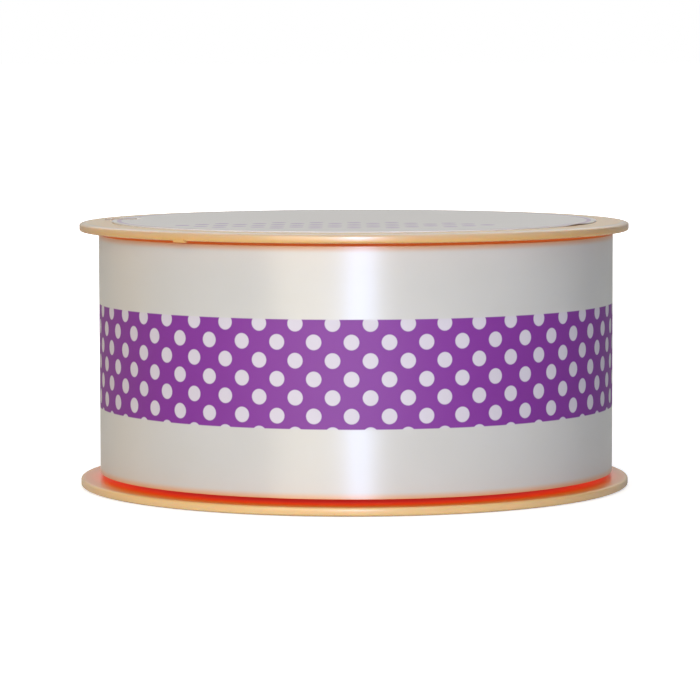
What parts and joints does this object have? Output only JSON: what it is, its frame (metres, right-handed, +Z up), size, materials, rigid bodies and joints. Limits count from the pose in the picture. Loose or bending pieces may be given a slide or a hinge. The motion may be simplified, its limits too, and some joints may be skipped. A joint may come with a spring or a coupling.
{
  "type": "spool of ribbon",
  "caption": "Wide printed ribbon wound on a flanged plastic spool, with a round paper label on the upper flange.",
  "frame": {"origin": "on the spool's axis, at the underside of the lower flange", "axes": "+Z up along the spool's axis, which is also the shortest extent; -Y faces the viewer of the picture"},
  "size_m": [0.088, 0.088, 0.0427],
  "materials": {
    "spool_plastic": "glossy moulded translucent plastic, pale orange",
    "ribbon_film": "satin white film ribbon with a printed violet band of white dots",
    "label_paper": null
  },
  "bodies": {
    "root": {"lower_flange": "spool_plastic", "upper_flange": "spool_plastic", "ribbon_roll": "ribbon_film", "top_label": "label_paper"}
  },
  "joints": []
}
